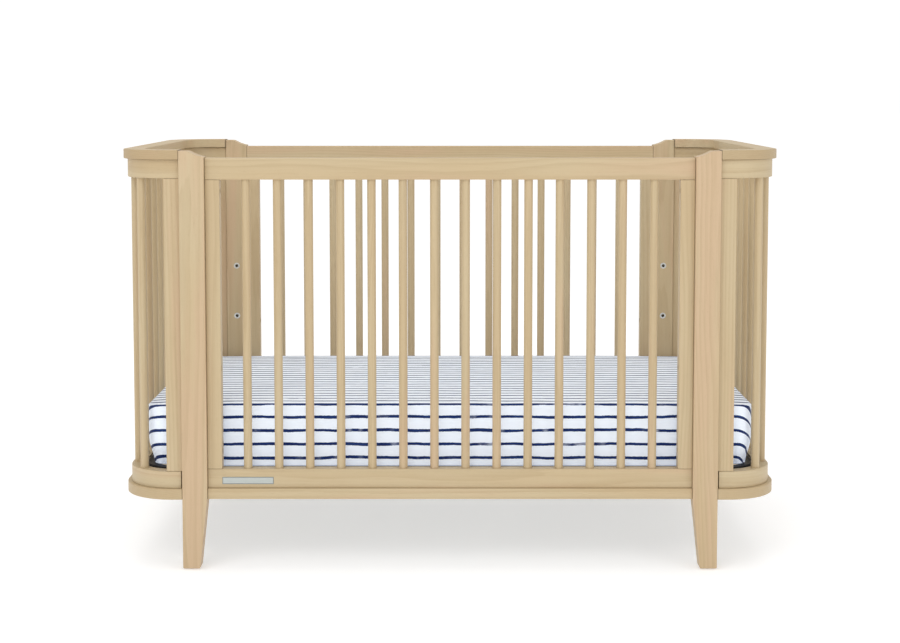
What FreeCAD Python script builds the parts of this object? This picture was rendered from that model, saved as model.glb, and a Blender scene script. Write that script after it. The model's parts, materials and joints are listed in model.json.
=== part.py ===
import FreeCAD, Part
import os
import Sketcher
from FreeCAD import Placement, Rotation, Vector

# A full-size baby crib: four legs, two long spindle panels, two bowed end panels,
# a height-adjustable mattress support and a mattress in its fitted sheet.
# Frame: origin on the floor under the middle, +X along the length, front at -Y, +Z up.

os.makedirs("parts", exist_ok=True)
doc = FreeCAD.newDocument("baby_crib")
sheet = doc.addObject("Spreadsheet::Sheet", "Dims")

# Driving dimensions in millimetres: alias, value, meaning.
SIZES = [
    ("crib_length", 1391, "over the end caps"),
    ("crib_depth", 789, "over the outer faces of the legs"),
    ("crib_height", 886, "top of the end caps"),
    ("base_height", 150, "underside of base strips and bottom caps"),
    ("easing", 1.2, "radius on sawn edges"),
    ("fit_gap", 0.1, "radial play of a glued peg or insert in its hole"),
    ("leg_width", 52.5, "along the crib"),
    ("leg_depth", 39, "front to back"),
    ("leg_below", 2, "leg top below the end caps"),
    ("leg_flat", 16, "level part of the leg top"),
    ("leg_shoulder", 14, "radius where the curve leaves the level part"),
    ("leg_slope", 30, "steepest slope of the curve, in degrees"),
    ("leg_drop", 12.5, "fall of the curve on the leg top"),
    ("foot_width", 36, "leg width at the floor"),
    ("taper_height", 152, "where the taper of the leg starts"),
    ("foot_round", 3, "radius round the foot"),
    ("glide_diameter", 24, "foot glide"),
    ("glide_height", 2, "glide under the leg"),
    ("glide_stem", 6, "stem diameter of the glide"),
    ("glide_stem_length", 12, "stem length of the glide"),
    ("panel_thickness", 27, "long panel, flush with the inner face of the legs"),
    ("top_rail_below", 17, "top rail below the crib height"),
    ("top_rail_height", 45, "top rail"),
    ("bottom_rail_height", 40.5, "bottom rail"),
    ("base_strip_height", 22.5, "base strip and bottom cap"),
    ("strip_setback", 6, "base strip behind the leg face"),
    ("stile_width", 30.5, "long panel stile"),
    ("spindle_diameter", 18, "long panel spindle"),
    ("spindle_count", 14, "spindles in a long panel"),
    ("spindle_end_gap", 44.5, "gap between stile and first spindle"),
    ("socket_depth", 12, "depth of spindle and slat sockets"),
    ("corner_radius", 110, "plan corner of the end cap"),
    ("corner_straight", 22, "straight run of the end cap between leg and corner"),
    ("cap_thickness", 20, "top cap"),
    ("cap_overhang", 8.5, "cap past the band on both sides"),
    ("band_thickness", 27, "bent bands of the end panel"),
    ("top_band_height", 39, "upper band"),
    ("bottom_band_height", 36, "lower band"),
    ("band_leg_gap", 2.5, "shadow gap of the lower band at the leg"),
    ("end_stile_width", 33.5, "flat stile beside the leg"),
    ("end_stile_thickness", 24, "flat stile beside the leg"),
    ("end_stile_setback", 1, "stile behind the band face"),
    ("slat_diameter", 18, "round slat of the end panel"),
    ("slat_count", 11, "round slats in an end panel, an odd number"),
    ("dowel_diameter", 8, "glued joint dowel"),
    ("dowel_length", 40, "glued joint dowel"),
    ("dowel_pitch", 20, "between two dowels of one joint"),
    ("insert_flange", 15, "threaded insert flange diameter"),
    ("insert_flange_thickness", 1, "threaded insert flange"),
    ("insert_body", 10, "threaded insert body diameter"),
    ("insert_length", 13, "threaded insert, flange included"),
    ("thread_bore", 6.5, "hole of a threaded insert"),
    ("insert_inset", 27.5, "support insert from the inner side of the leg"),
    ("insert_low", 313, "height of the lowest support insert"),
    ("insert_pitch", 127, "step between support heights"),
    ("insert_count", 3, "support heights"),
    ("bolt_diameter", 6, "panel and support bolts"),
    ("bolt_head", 12, "panel bolt head diameter"),
    ("bolt_head_height", 6, "panel bolt head"),
    ("bolt_recess", 8, "depth of the recess for a panel bolt head"),
    ("bolt_reach", 11, "panel bolt past the stile into the leg"),
    ("hex_socket", 4, "key size across flats"),
    ("panel_bolt_low", 250, "lowest panel bolt"),
    ("panel_bolt_middle", 426, "middle panel bolt"),
    ("panel_bolt_high", 800, "highest panel bolt"),
    ("badge_length", 108, "blank plate on the front bottom rail"),
    ("badge_height", 15, "blank plate"),
    ("badge_thickness", 0.8, "blank plate"),
    ("badge_rim", 1.2, "raised rim of the blank plate"),
    ("badge_side", 54.5, "plate centre from the stile"),
    ("mattress_bottom", 211, "underside of the sheeted mattress"),
    ("mattress_thickness", 135, "sheeted mattress"),
    ("mattress_round", 30, "rounded long edges of the mattress"),
    ("mattress_side_gap", 9.5, "mattress to the long panels"),
    ("mattress_end_gap", 1.5, "mattress to the opening between the caps"),
    ("cloth_thickness", 0.8, "fitted sheet"),
    ("cloth_gap", 0.3, "between sheet and mattress"),
    ("cloth_hem", 70, "sheet turned in under the mattress"),
    ("body_gap", 0.3, "between support and mattress"),
    ("support_side_gap", 3.5, "support frame to the long panels"),
    ("support_height", 25, "height of the support frame"),
    ("support_flange", 22, "width of the frame's inner flange"),
    ("steel_thickness", 2.5, "angle steel of the support"),
    ("support_slat_width", 24, "cross slat of the support"),
    ("support_slat_thickness", 2, "cross slat of the support"),
    ("support_slat_count", 13, "cross slats"),
    ("support_slat_margin", 57.5, "end slat from the corner bend of the frame"),
    ("bracket_width", 38, "bracket that hangs the support on the legs"),
    ("bracket_play", 0.5, "bracket to the leg face"),
    ("bolt_play", 0.3, "radial play of a bolt in its hole"),
    ("button_head", 13, "support bolt head diameter"),
    ("button_head_height", 3.5, "support bolt head"),
]

for row, (alias, number, meaning) in enumerate(SIZES, start=1):
    sheet.set("A%d" % row, meaning)
    sheet.set("B%d" % row, str(number))
    sheet.setAlias("B%d" % row, alias)
doc.recompute()


def value(expression):
    """The number that an expression on the sheet gives."""
    return float(sheet.evalExpression(expression))


# Places worked out from the driving dimensions, as expressions on the sheet.
HALF_DEPTH = "(Dims.crib_depth / 2)"
CAP_X = "(Dims.crib_length / 2)"
CORNER_X = "(%s - Dims.corner_radius)" % CAP_X
CORNER_Y = "(%s - Dims.corner_radius)" % HALF_DEPTH
LEG_OUTER = "(%s - Dims.corner_straight)" % CORNER_X
LEG_INNER = "(%s - Dims.leg_width)" % LEG_OUTER
INNER_Y = "(%s - Dims.leg_depth)" % HALF_DEPTH
PANEL_MIDDLE = "(%s + Dims.panel_thickness / 2)" % INNER_Y
RAIL_TOP = "(Dims.crib_height - Dims.top_rail_below)"
RAIL_UNDER = "(%s - Dims.top_rail_height)" % RAIL_TOP
BASE_TOP = "(Dims.base_height + Dims.base_strip_height)"
SILL_TOP = "(%s + Dims.bottom_rail_height)" % BASE_TOP
STILE_INNER = "(%s - Dims.stile_width)" % LEG_INNER
BAND_TOP = "(Dims.crib_height - Dims.cap_thickness)"
BAND_UNDER = "(%s - Dims.top_band_height)" % BAND_TOP
BAND_SILL = "(%s + Dims.bottom_band_height)" % BASE_TOP
BAND_INSET = "(Dims.cap_overhang + Dims.band_thickness)"
CAP_INSET = "(2 * Dims.cap_overhang + Dims.band_thickness)"
SLAT_INSET = "(Dims.cap_overhang + Dims.band_thickness / 2)"
INSERT_X = "(%s + Dims.insert_inset)" % LEG_INNER
FOOT_X = "(%s - Dims.foot_width / 2)" % LEG_OUTER
LEG_MIDDLE_Y = "(%s - Dims.leg_depth / 2)" % HALF_DEPTH
PANEL_BOLTS = ["Dims.panel_bolt_low", "Dims.panel_bolt_middle", "Dims.panel_bolt_high"]
FRAME_INSET = "(Dims.leg_depth + Dims.support_side_gap)"
SUPPORT_TOP = "(Dims.mattress_bottom - Dims.body_gap)"
SUPPORT_UNDER = "(%s - Dims.support_height)" % SUPPORT_TOP
BRACKET_Y = "(%s - Dims.bracket_play)" % INNER_Y

SIDES = {"left": -1, "right": 1}
PANELS = {"front": -1, "rear": 1}
nodes = []


# ---------------------------------------------------------------- drawing helpers

def node(label, thing):
    """Name a finished piece and put it on the list of files."""
    thing.Label = label
    nodes.append(thing)
    return thing


def new_body(name):
    return doc.addObject("PartDesign::Body", name)


def new_sketch(body, plane, offset="0"):
    """A sketch on one of the body's own origin planes, moved along its normal."""
    sketch = body.newObject("Sketcher::SketchObject", "Sketch")
    support = [item for item in body.Origin.OriginFeatures if item.Role == plane]
    sketch.AttachmentSupport = [(support[0], "")]
    sketch.MapMode = "FlatFace"
    sketch.setExpression("AttachmentOffset.Base.z", offset)
    return sketch


def pin_point(sketch, item, point, place):
    """Fix one point of the drawing by its two coordinates."""
    for kind, coordinate in zip(("DistanceX", "DistanceY"), place):
        rule = Sketcher.Constraint(kind, -1, 1, item, point, value(coordinate))
        sketch.setExpression("Constraints[%d]" % sketch.addConstraint(rule), coordinate)


def draw_outline(sketch, points):
    """A closed outline. A point is (x, y), or (x, y, radius, turn) where an arc
    runs on to the next point; turn is 1 anticlockwise and -1 clockwise."""
    spots = [Vector(value(point[0]), value(point[1]), 0) for point in points]
    first = sketch.GeometryCount
    for index, point in enumerate(points):
        start, end = spots[index], spots[(index + 1) % len(points)]
        if len(point) == 2:
            sketch.addGeometry(Part.LineSegment(start, end), False)
            continue
        radius, turn = value(point[2]), point[3]
        half = (end - start) * 0.5
        rise = max(radius ** 2 - half.Length ** 2, 0) ** 0.5
        centre = start + half + Vector(-half.y, half.x, 0).normalize() * rise * turn
        bulge = start + half - centre
        middle = centre + (bulge * (1 / bulge.Length) if bulge.Length > 1e-6
                           else Vector(half.y, -half.x, 0).normalize() * turn) * radius
        sketch.addGeometry(Part.Arc(start, middle, end), False)
    for index, point in enumerate(points):
        item = first + index
        following = first + (index + 1) % len(points)
        forward = len(point) == 2 or point[3] > 0
        beyond = points[(index + 1) % len(points)]
        beyond_forward = len(beyond) == 2 or beyond[3] > 0
        sketch.addConstraint(Sketcher.Constraint(
            "Coincident", item, 2 if forward else 1, following, 1 if beyond_forward else 2))
        pin_point(sketch, item, 1 if forward else 2, point[:2])
        if len(point) == 4:
            rule = Sketcher.Constraint("Radius", item, value(point[2]))
            sketch.setExpression("Constraints[%d]" % sketch.addConstraint(rule), point[2])


def draw_circles(sketch, centres, diameter):
    for centre in centres:
        place = Vector(value(centre[0]), value(centre[1]), 0)
        item = sketch.addGeometry(Part.Circle(place, Vector(0, 0, 1), value(diameter) / 2), False)
        pin_point(sketch, item, 3, centre)
        rule = Sketcher.Constraint("Diameter", item, value(diameter))
        sketch.setExpression("Constraints[%d]" % sketch.addConstraint(rule), diameter)


def pad(body, sketch, length, reverse=False):
    """Extrude a sketch; on the XZ plane this goes to -Y unless reversed."""
    feature = body.newObject("PartDesign::Pad", "Pad")
    feature.Profile = sketch
    feature.setExpression("Length", length)
    feature.Reversed = reverse
    doc.recompute()
    return feature


def bore(body, plane, offset, centres, diameter, depth, reverse=False):
    """Round blind holes; the volume must fall, or the pocket points the wrong way."""
    before = body.Shape.Volume
    sketch = new_sketch(body, plane, offset)
    draw_circles(sketch, centres, diameter)
    feature = body.newObject("PartDesign::Pocket", "Pocket")
    feature.Profile = sketch
    feature.setExpression("Length", depth)
    feature.Reversed = reverse
    doc.recompute()
    if body.Shape.Volume >= before:
        raise RuntimeError("a hole cuts nothing in " + body.Name)
    return feature


def ease(body, radius, wanted=None):
    """Round the body's edges that the test names, or all of them."""
    base = body.Tip
    names = ["Edge%d" % (number + 1) for number, edge in enumerate(base.Shape.Edges)
             if wanted is None or wanted(edge)]
    feature = body.newObject("PartDesign::Fillet", "Fillet")
    feature.Base = (base, names)
    feature.setExpression("Radius", radius)
    doc.recompute()
    return feature


def spin(body, points):
    """Turn an outline, drawn in X and Z, round the body's Z axis."""
    sketch = new_sketch(body, "XZ_Plane")
    draw_outline(sketch, points)
    feature = body.newObject("PartDesign::Revolution", "Revolution")
    feature.Profile = sketch
    feature.ReferenceAxis = (sketch, ["V_Axis"])
    feature.Angle = 360
    doc.recompute()
    return feature


def hex_socket(body, top, depth):
    """A hexagon key socket sunk from the given height."""
    half = "(Dims.hex_socket / 2)"
    corner = "(Dims.hex_socket / 2 / cos(30))"
    low = "(-Dims.hex_socket / 4 / cos(30))"
    high = "(Dims.hex_socket / 4 / cos(30))"
    sketch = new_sketch(body, "XY_Plane", top)
    draw_outline(sketch, [(half, low), (half, high), ("0", corner), ("-" + half, high),
                          ("-" + half, low), ("0", "-" + corner)])
    feature = body.newObject("PartDesign::Pocket", "Pocket")
    feature.Profile = sketch
    feature.setExpression("Length", depth)
    doc.recompute()


def rod(name, diameter, low, high, x, y):
    """An upright round rod between two heights."""
    thing = doc.addObject("Part::Cylinder", name)
    thing.setExpression("Radius", diameter + " / 2")
    thing.setExpression("Height", "%s - %s" % (high, low))
    thing.setExpression("Placement.Base.x", x)
    thing.setExpression("Placement.Base.y", y)
    thing.setExpression("Placement.Base.z", low)
    return thing


def compound(label, things):
    """One node of several separate solids that stand where they are."""
    group = doc.addObject("Part::Compound", label)
    group.Links = things
    return node(label, group)


def copies(label, master, sites):
    """One node with a copy of the master at each (x, y, z, rotation)."""
    group = doc.addObject("Part::Feature", label)
    placed = []
    for x, y, z, turn in sites:
        shape = master.Shape.copy()
        shape.Placement = Placement(Vector(value(x), value(y), value(z)), turn)
        placed.append(shape)
    group.Shape = Part.makeCompound(placed)
    return node(label, group)


def board(label, side, thickness, inner_y, corners):
    """A flat upright board on one long side, with its inner face at inner_y.
    corners is x0, x1, z0, z1. Its outer face looks away from the crib."""
    x0, x1, z0, z1 = corners
    body = new_body(label)
    sketch = new_sketch(body, "XZ_Plane")
    draw_outline(sketch, [(x0, z0), (x1, z0), (x1, z1), (x0, z1)])
    pad(body, sketch, thickness, reverse=side > 0)
    ease(body, "Dims.easing")
    body.setExpression("Placement.Base.y", "%d * %s" % (side, inner_y))
    return node(label, body)


def ring_outline(side, start, outer, inner):
    """The plan of an end piece: a C with its corners on the cap's corner centres.
    outer and inner are its distances inside the cap's outer face."""
    far = "%d * (%s - %s)"
    far_out, far_in = far % (side, CAP_X, outer), far % (side, CAP_X, inner)
    turn_x, start_x = "%d * %s" % (side, CORNER_X), "%d * %s" % (side, start)
    edge_out, edge_in = "(%s - %s)" % (HALF_DEPTH, outer), "(%s - %s)" % (HALF_DEPTH, inner)
    round_out, round_in = ("(Dims.corner_radius - %s)" % depth for depth in (outer, inner))
    return [
        (start_x, "-" + edge_out),
        (turn_x, "-" + edge_out, round_out, side),
        (far_out, "-" + CORNER_Y),
        (far_out, CORNER_Y, round_out, side),
        (turn_x, edge_out),
        (start_x, edge_out),
        (start_x, edge_in),
        (turn_x, edge_in, round_in, -side),
        (far_in, CORNER_Y),
        (far_in, "-" + CORNER_Y, round_in, -side),
        (turn_x, "-" + edge_in),
        (start_x, "-" + edge_in),
    ]


def slat_places(side):
    """Centres of the round slats, evenly spaced along the middle line of the bands."""
    bend = "(Dims.corner_radius - %s)" % SLAT_INSET
    quarter = "(%.9f * %s)" % (3.14159265359 / 2, bend)
    reach = "(%s + %s + %s - %s - Dims.end_stile_width)" % (CORNER_Y, quarter, CORNER_X, LEG_OUTER)
    count = int(value("Dims.slat_count"))
    pitch = "((2 * %s + Dims.slat_diameter) / %d)" % (reach, count + 1)
    places = []
    for number in range(count):
        step = number - (count - 1) // 2
        hand = -1 if step < 0 else 1
        along = "(%d * %s)" % (abs(step), pitch)
        round_bend = "max(0; %s - %s)" % (along, CORNER_Y)
        angle = "(min(%s; %s) / %s * 1 rad)" % (round_bend, quarter, bend)
        straight = "max(0; %s - %s)" % (round_bend, quarter)
        places.append((
            "%d * (%s + %s * cos(%s) - %s)" % (side, CORNER_X, bend, angle, straight),
            "%d * (min(%s; %s) + %s * sin(%s))" % (hand, along, CORNER_Y, bend, angle)))
    return places


# ---------------------------------------------------------------- legs

def rail_dowel_heights():
    """Dowel heights at the ends of the top rail, bottom rail and base strip."""
    top = "(%s - Dims.top_rail_height / 2)" % RAIL_TOP
    sill = "(%s - Dims.bottom_rail_height / 2)" % SILL_TOP
    shift = " Dims.dowel_pitch / 2"
    return {
        "top_rail": [top + " -" + shift, top + " +" + shift],
        "bottom_rail": [sill + " -" + shift, sill + " +" + shift],
        "base_strip": ["%s - Dims.base_strip_height / 2" % BASE_TOP],
    }


def end_dowel_heights():
    """Dowel heights at the ends of the top cap, top band and bottom cap."""
    band = "(%s - Dims.top_band_height / 2)" % BAND_TOP
    shift = " Dims.dowel_pitch / 2"
    return {
        "top_cap": ["Dims.crib_height - Dims.cap_thickness / 2"],
        "top_band": [band + " -" + shift, band + " +" + shift],
        "bottom_cap": ["%s - Dims.base_strip_height / 2" % BASE_TOP],
    }


DOWEL_BORE = "Dims.dowel_diameter + 2 * Dims.fit_gap"
DOWEL_DEPTH = "Dims.dowel_length / 2"
RAIL_DOWELS = rail_dowel_heights()
END_DOWELS = end_dowel_heights()
STRIP_MIDDLE = "(%s + (Dims.leg_depth - Dims.strip_setback) / 2)" % INNER_Y
SLAT_LINE = "(%s - %s)" % (HALF_DEPTH, SLAT_INSET)
INSERT_HEIGHTS = ["Dims.insert_low + %d * Dims.insert_pitch" % step
                  for step in range(int(value("Dims.insert_count")))]


def bore_insert_seat(body, plane, offset, centres, reverse):
    """A threaded insert's hole: a shallow step for the flange, then the body."""
    bore(body, plane, offset, centres, "Dims.insert_flange + 2 * Dims.fit_gap",
         "Dims.insert_flange_thickness", reverse)
    bore(body, plane, offset, centres, "Dims.insert_body + 2 * Dims.fit_gap",
         "Dims.insert_length + 1", reverse)


def leg(label, side, panel):
    """A leg drawn from the front, with its inner face on the drawing plane."""
    top = "(Dims.crib_height - Dims.leg_below)"
    shoulder_run = "Dims.leg_shoulder * sin(Dims.leg_slope)"
    shoulder_fall = "Dims.leg_shoulder * (1 - cos(Dims.leg_slope))"
    run = "(Dims.leg_width - Dims.leg_flat - %s)" % shoulder_run
    fall = "(Dims.leg_drop - %s)" % shoulder_fall
    hollow = "((%s ^ 2 + %s ^ 2) / (2 * (%s * sin(Dims.leg_slope) - %s * cos(Dims.leg_slope))))" % (
        run, fall, run, fall)
    outer, inner = "%d * %s" % (side, LEG_OUTER), "%d * %s" % (side, LEG_INNER)
    body = new_body(label)
    sketch = new_sketch(body, "XZ_Plane")
    draw_outline(sketch, [
        (outer, "Dims.glide_height"),
        (outer, top),
        ("%d * (%s - Dims.leg_flat)" % (side, LEG_OUTER), top, "Dims.leg_shoulder", side),
        ("%d * (%s - Dims.leg_flat - %s)" % (side, LEG_OUTER, shoulder_run),
         "%s - %s" % (top, shoulder_fall), hollow, -side),
        (inner, "%s - Dims.leg_drop" % top),
        (inner, "Dims.taper_height"),
        ("%d * (%s - Dims.foot_width)" % (side, LEG_OUTER), "Dims.glide_height"),
    ])
    pad(body, sketch, "Dims.leg_depth", reverse=panel > 0)
    floor = value("Dims.glide_height") + 1
    ease(body, "Dims.foot_round", lambda edge: edge.BoundBox.ZMax < floor)
    ease(body, "Dims.easing",
         lambda edge: edge.BoundBox.ZMax > value("Dims.taper_height") + 1
         and edge.BoundBox.YLength < 1)
    middle = "%d * (%s - %s)" % (panel, PANEL_MIDDLE, INNER_Y)
    strip = "%d * (%s - %s)" % (panel, STRIP_MIDDLE, INNER_Y)
    line = "%d * (%s - %s)" % (panel, SLAT_LINE, INNER_Y)
    inserts = [("%d * %s" % (side, INSERT_X), height) for height in INSERT_HEIGHTS]
    bore_insert_seat(body, "XZ_Plane", "0", inserts, reverse=panel < 0)
    bolts = [(middle, height) for height in PANEL_BOLTS]
    bore_insert_seat(body, "YZ_Plane", inner, bolts, reverse=side > 0)
    rails = [(middle, height) for height in RAIL_DOWELS["top_rail"] + RAIL_DOWELS["bottom_rail"]]
    rails += [(strip, height) for height in RAIL_DOWELS["base_strip"]]
    bore(body, "YZ_Plane", inner, rails, DOWEL_BORE, DOWEL_DEPTH, reverse=side > 0)
    ends = [(line, height) for heights in END_DOWELS.values() for height in heights]
    bore(body, "YZ_Plane", outer, ends, DOWEL_BORE, DOWEL_DEPTH, reverse=side < 0)
    foot = ("%d * %s" % (side, FOOT_X), "%d * Dims.leg_depth / 2" % panel)
    bore(body, "XY_Plane", "Dims.glide_height", [foot], "Dims.glide_stem + 2 * Dims.fit_gap",
         "Dims.glide_stem_length", reverse=True)
    body.setExpression("Placement.Base.y", "%d * %s" % (panel, INNER_Y))
    node(label, body)


# ---------------------------------------------------------------- long panels

def spindle_places():
    """Distances of the spindles from the middle of the panel."""
    count = int(value("Dims.spindle_count"))
    first = "(%s - Dims.spindle_end_gap - Dims.spindle_diameter / 2)" % STILE_INNER
    return ["%s * %.9f" % (first, 2 * number / (count - 1) - 1) for number in range(count)]


def long_panel(name, panel):
    """Two rails, a base strip, two stiles and the upright spindles between them."""
    middle = "%d * (Dims.panel_thickness / 2)" % panel
    socket = "Dims.spindle_diameter + 2 * Dims.fit_gap"
    places = [(x, middle) for x in spindle_places()]
    ends = ("-" + LEG_INNER, LEG_INNER)
    top = board(name + "_top_rail", panel, "Dims.panel_thickness", INNER_Y,
                (*ends, RAIL_UNDER, RAIL_TOP))
    bore(top, "XY_Plane", RAIL_UNDER, places, socket, "Dims.socket_depth", reverse=True)
    sill = board(name + "_bottom_rail", panel, "Dims.panel_thickness", INNER_Y,
                 (*ends, BASE_TOP, SILL_TOP))
    bore(sill, "XY_Plane", SILL_TOP, places, socket, "Dims.socket_depth")
    strip = board(name + "_base_strip", panel, "Dims.leg_depth - Dims.strip_setback", INNER_Y,
                  (*ends, "Dims.base_height", BASE_TOP))
    strip_middle = "%d * (%s - %s)" % (panel, STRIP_MIDDLE, INNER_Y)
    for piece, part, line in ((top, "top_rail", middle), (sill, "bottom_rail", middle),
                              (strip, "base_strip", strip_middle)):
        holes = [(line, height) for height in RAIL_DOWELS[part]]
        bore(piece, "YZ_Plane", ends[0], holes, DOWEL_BORE, DOWEL_DEPTH, reverse=True)
        bore(piece, "YZ_Plane", ends[1], holes, DOWEL_BORE, DOWEL_DEPTH)
    for hand, side in SIDES.items():
        edges = sorted(("%d * %s" % (side, LEG_INNER), "%d * %s" % (side, STILE_INNER)), key=value)
        stile = board("%s_stile_%s" % (name, hand), panel, "Dims.panel_thickness", INNER_Y,
                      (*edges, SILL_TOP, RAIL_UNDER))
        bolts = [(middle, height) for height in PANEL_BOLTS]
        inner = "%d * %s" % (side, STILE_INNER)
        bore(stile, "YZ_Plane", inner, bolts, "Dims.bolt_head + 2 * Dims.bolt_play",
             "Dims.bolt_recess", reverse=side > 0)
        bore(stile, "YZ_Plane", inner, bolts, "Dims.bolt_diameter + 2 * Dims.bolt_play",
             "Dims.stile_width", reverse=side > 0)


def spindle_row(panel):
    """The spindles of one long panel, seated in their sockets."""
    low = "(%s - Dims.socket_depth)" % SILL_TOP
    high = "(%s + Dims.socket_depth)" % RAIL_UNDER
    return [rod("Spindle", "Dims.spindle_diameter", low, high, x, "%d * %s" % (panel, PANEL_MIDDLE))
            for x in spindle_places()]


# ---------------------------------------------------------------- end panels

def end_piece(label, side, start, insets, low, high):
    """A cap or band of an end panel, with dowel holes where it meets the legs."""
    body = new_body(label)
    sketch = new_sketch(body, "XY_Plane")
    draw_outline(sketch, ring_outline(side, start, *insets))
    pad(body, sketch, "%s - %s" % (high, low))
    ease(body, "Dims.easing")
    body.setExpression("Placement.Base.z", low)
    return node(label, body)


def end_panel(hand, side):
    """Caps, bands and flat stiles of one bowed end."""
    name = "end_%s_" % hand
    cap, band = ("0", CAP_INSET), ("Dims.cap_overhang", BAND_INSET)
    pieces = {
        "top_cap": (cap, LEG_OUTER, BAND_TOP, "Dims.crib_height"),
        "top_band": (band, LEG_OUTER, BAND_UNDER, BAND_TOP),
        "bottom_band": (band, "(%s + Dims.band_leg_gap)" % LEG_OUTER, BASE_TOP, BAND_SILL),
        "bottom_cap": (cap, LEG_OUTER, "Dims.base_height", BASE_TOP),
    }
    for part, (insets, start, low, high) in pieces.items():
        body = end_piece(name + part, side, start, insets, low, high)
        holes = [("%d * %s" % (panel, SLAT_LINE), "%s - %s" % (height, low))
                 for panel in PANELS.values() for height in END_DOWELS.get(part, [])]
        if holes:
            bore(body, "YZ_Plane", "%d * %s" % (side, start), holes, DOWEL_BORE, DOWEL_DEPTH,
                 reverse=side > 0)
        if part == "top_band":
            bore(body, "XY_Plane", "0", slat_places(side),
                 "Dims.slat_diameter + 2 * Dims.fit_gap", "Dims.socket_depth", reverse=True)
        if part == "bottom_band":
            bore(body, "XY_Plane", "%s - %s" % (high, low), slat_places(side),
                 "Dims.slat_diameter + 2 * Dims.fit_gap", "Dims.socket_depth")
    face = "(%s - Dims.cap_overhang - Dims.end_stile_setback - Dims.end_stile_thickness)" % HALF_DEPTH
    edges = sorted(("%d * %s" % (side, LEG_OUTER),
                    "%d * (%s + Dims.end_stile_width)" % (side, LEG_OUTER)), key=value)
    for place, panel in PANELS.items():
        board("%sstile_%s" % (name, place), panel, "Dims.end_stile_thickness", face,
              (*edges, BAND_SILL, BAND_UNDER))


def slat_row(side):
    """The round slats of one end panel, seated in the bands."""
    low = "(%s - Dims.socket_depth)" % BAND_SILL
    high = "(%s + Dims.socket_depth)" % BAND_UNDER
    return [rod("Slat", "Dims.slat_diameter", low, high, x, y) for x, y in slat_places(side)]


# ---------------------------------------------------------------- fasteners and small parts

ALONG_X = Rotation(Vector(0, 1, 0), 90)
AGAINST_X = Rotation(Vector(0, 1, 0), -90)
ALONG_Y = Rotation(Vector(1, 0, 0), -90)
AGAINST_Y = Rotation(Vector(1, 0, 0), 90)


def insert_master():
    """A threaded insert, mouth upwards, with the top of its flange at the origin."""
    body = new_body("Insert")
    bore_r, body_r, flange_r = "Dims.thread_bore / 2", "Dims.insert_body / 2", "Dims.insert_flange / 2"
    under, bottom = "-Dims.insert_flange_thickness", "-Dims.insert_length"
    spin(body, [(bore_r, "0"), (bore_r, bottom), (body_r, bottom), (body_r, under),
                (flange_r, under), (flange_r, "0")])
    return body


def bolt_master(name, head, height, length):
    """A bolt with a key socket; its head sits on the origin plane and points up."""
    body = new_body(name)
    shank_r, head_r = "Dims.bolt_diameter / 2", head + " / 2"
    spin(body, [("0", "-" + length), (shank_r, "-" + length), (shank_r, "0"), (head_r, "0"),
                (head_r, "%s * 0.7" % height), (head_r + " - %s * 0.3" % height, height),
                ("0", height)])
    hex_socket(body, height, "%s * 0.6" % height)
    return body


def dowel_master():
    body = new_body("Dowel")
    radius, half, bevel = "Dims.dowel_diameter / 2", "Dims.dowel_length / 2 - 0.5", "1"
    spin(body, [("0", "-(%s)" % half), ("%s - %s" % (radius, bevel), "-(%s)" % half),
                (radius, "-(%s) + %s" % (half, bevel)), (radius, "%s - %s" % (half, bevel)),
                ("%s - %s" % (radius, bevel), half), ("0", half)])
    return body


def glide_master():
    """A foot glide: a disc on the floor and a stem pressed up into the leg."""
    body = new_body("Glide")
    disc_r, stem_r, bevel = "Dims.glide_diameter / 2", "Dims.glide_stem / 2", "0.6"
    stem_top = "Dims.glide_height + Dims.glide_stem_length - 0.5"
    spin(body, [("0", "0"), ("%s - %s" % (disc_r, bevel), "0"), (disc_r, bevel),
                (disc_r, "Dims.glide_height"), (stem_r, "Dims.glide_height"),
                (stem_r, stem_top), ("0", stem_top)])
    return body


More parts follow.
